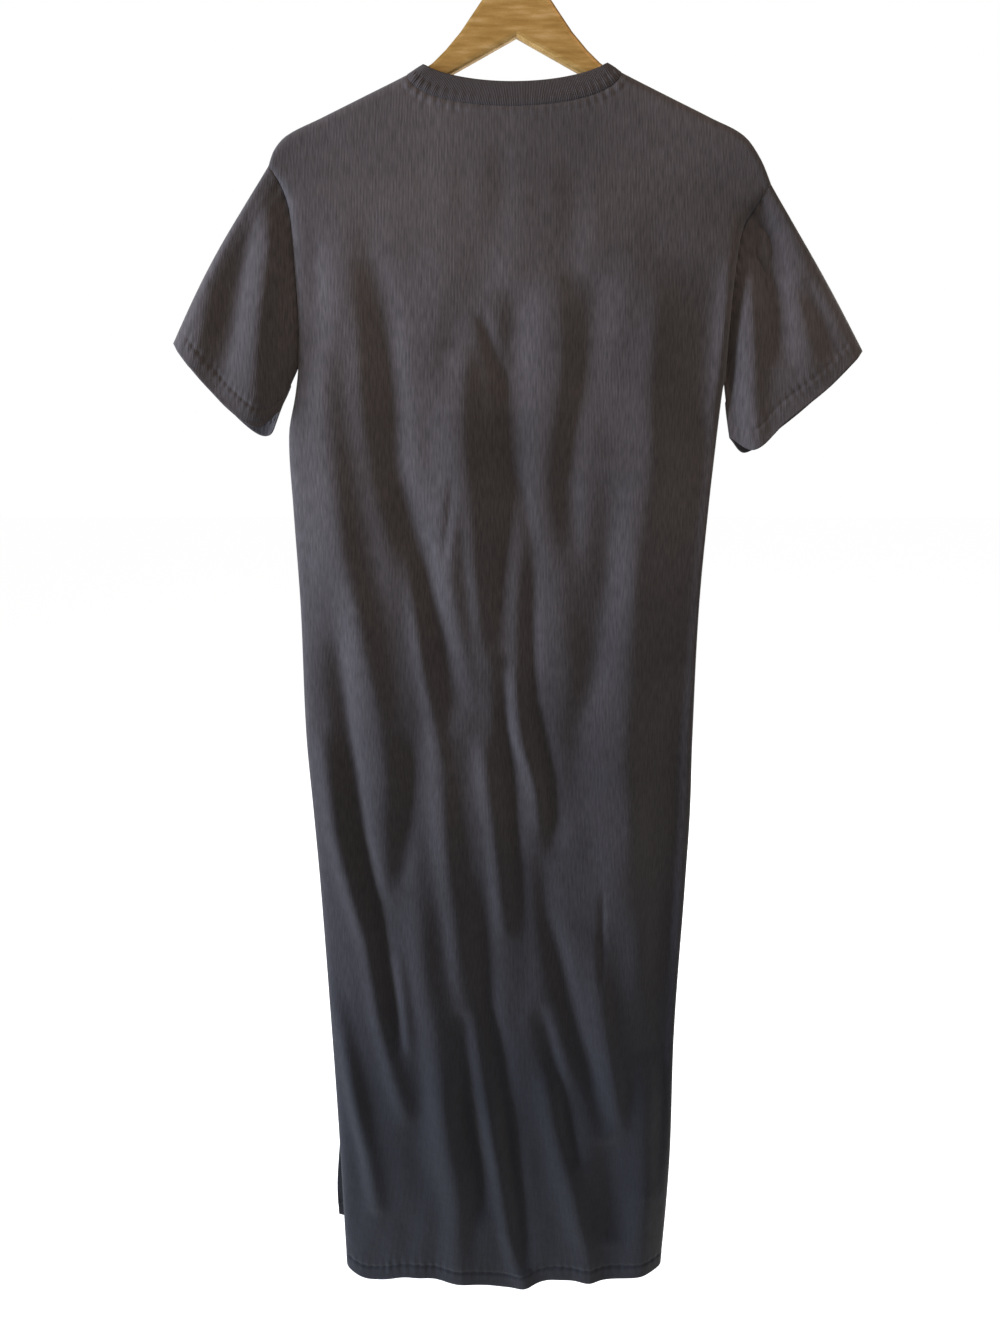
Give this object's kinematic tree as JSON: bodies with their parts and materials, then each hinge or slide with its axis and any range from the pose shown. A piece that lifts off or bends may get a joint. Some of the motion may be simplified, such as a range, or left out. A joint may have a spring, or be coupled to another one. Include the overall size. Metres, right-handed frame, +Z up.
{
  "type": "t-shirt dress on a hanger",
  "caption": "Long crew-neck jersey t-shirt dress with short sleeves and side slits, hung by its shoulders on a flat wooden hanger with a wire hook.",
  "frame": {"origin": "top of the inside of the hook's eye, where it rests on a rail", "axes": "+Z up; the dress's back faces -Y; +X to the right of somebody who looks at the back"},
  "size_m": [0.661, 0.0646, 1.4653],
  "materials": {
    "jersey": "washed black cotton jersey, matt",
    "rib": "washed black cotton rib, matt",
    "gold_wood": "worn gold paint, satin",
    "steel": "polished wire"
  },
  "bodies": {
    "root": {"back_panel": "jersey", "front_panel": "jersey", "left_sleeve": "jersey", "right_sleeve": "jersey", "neckband": "rib", "hanger_bow": "gold_wood", "hanger_hook": "steel"}
  },
  "joints": []
}
